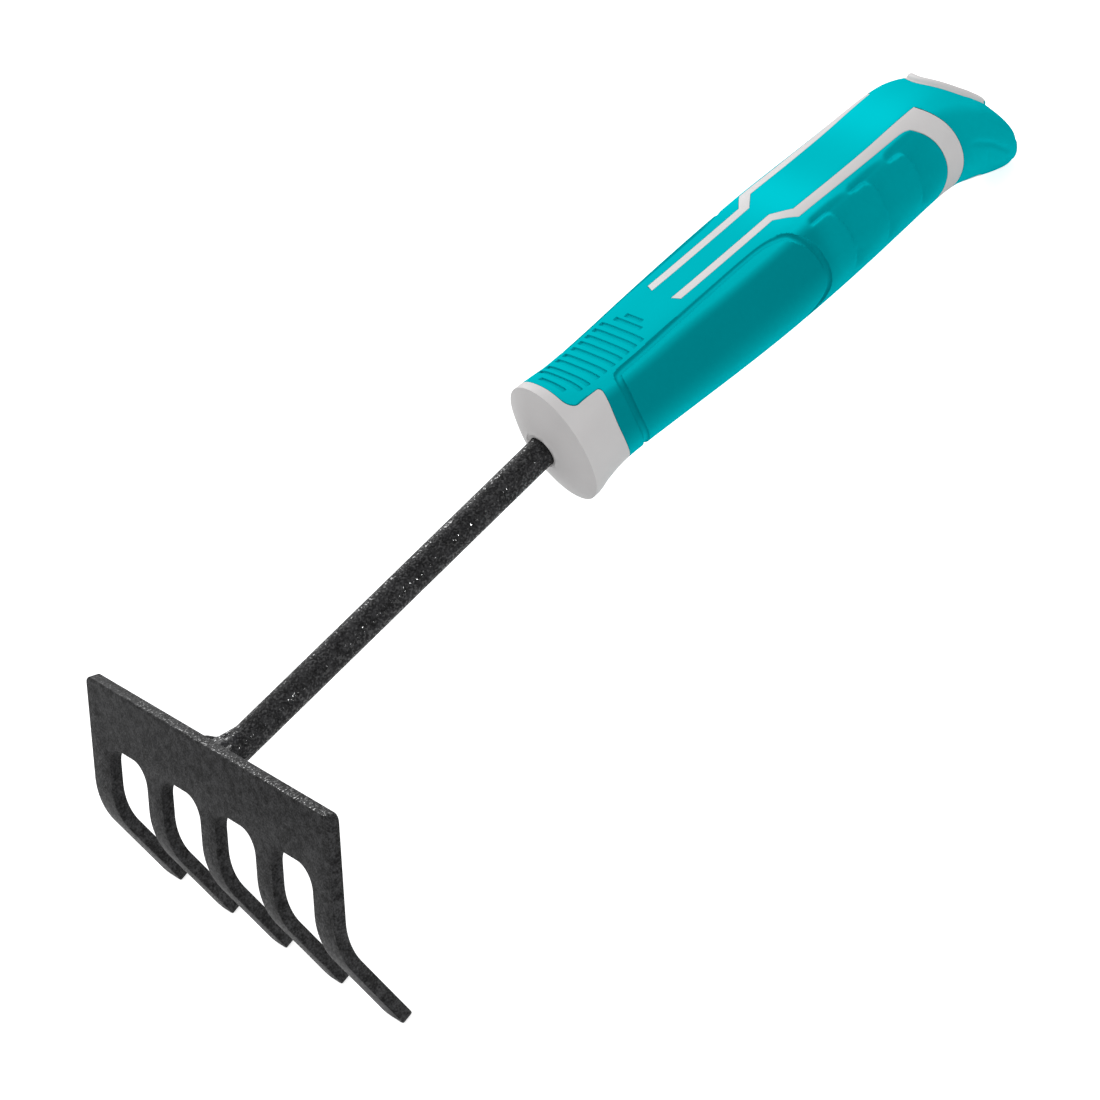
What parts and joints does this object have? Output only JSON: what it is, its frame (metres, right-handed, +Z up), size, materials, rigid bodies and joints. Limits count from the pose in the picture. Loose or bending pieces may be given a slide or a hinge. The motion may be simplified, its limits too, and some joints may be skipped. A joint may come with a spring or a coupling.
{
  "type": "garden hand rake",
  "caption": "Short hand rake with a bent sheet steel head of blunt tines, a round bar and a rubber-skinned grip with a hang hole, for loosening and levelling soil.",
  "frame": {"origin": "on the ground, under the middle of the tool's bounding box", "axes": "+X from the head to the butt of the handle, +Z up, +Y to the left of someone looking from the head to the butt; the rake lies as it would on the ground, on its tine tips and its butt"},
  "size_m": [0.2538, 0.0938, 0.0549],
  "materials": {
    "black_coat": "satin, fine hammered powder coat",
    "grey_plastic": "satin",
    "teal_rubber": "soft touch"
  },
  "bodies": {
    "root": {"rake_head": "black_coat", "shank": "black_coat", "weld_bead": "black_coat", "handle_core": "grey_plastic", "grip_overmold": "teal_rubber"}
  },
  "joints": []
}
